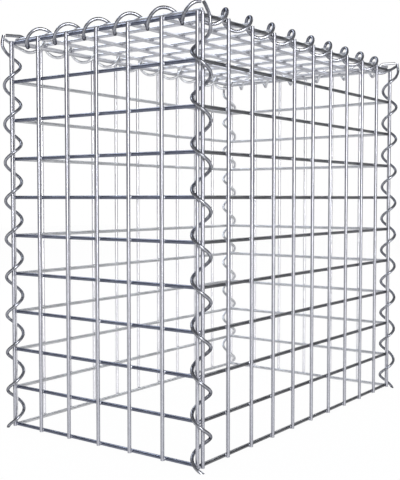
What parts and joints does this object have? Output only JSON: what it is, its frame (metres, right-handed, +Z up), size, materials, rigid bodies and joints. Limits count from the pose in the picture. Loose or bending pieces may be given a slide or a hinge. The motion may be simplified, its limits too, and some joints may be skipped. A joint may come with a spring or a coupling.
{
  "type": "gabion basket",
  "caption": "Empty welded mesh gabion basket, open at the bottom, its corners and lid laced with wire spirals.",
  "frame": {"origin": "centre of the basket's footprint, at the level of the cut feet that it stands on", "axes": "+X along the long faces, +Y from the front face to the back face, +Z up"},
  "size_m": [0.5278, 0.3302, 0.5193],
  "materials": {
    "panel_wire": "satin zinc coating",
    "spiral_wire": "satin zinc coating"
  },
  "bodies": {
    "root": {"front_panel": "panel_wire", "back_panel": "panel_wire", "left_panel": "panel_wire", "right_panel": "panel_wire", "lid_panel": "panel_wire", "front_left_spiral": "spiral_wire", "front_right_spiral": "spiral_wire", "back_left_spiral": "spiral_wire", "back_right_spiral": "spiral_wire", "front_lid_spiral": "spiral_wire", "right_lid_spiral": "spiral_wire", "back_lid_spiral": "spiral_wire", "left_lid_spiral": "spiral_wire"}
  },
  "joints": []
}
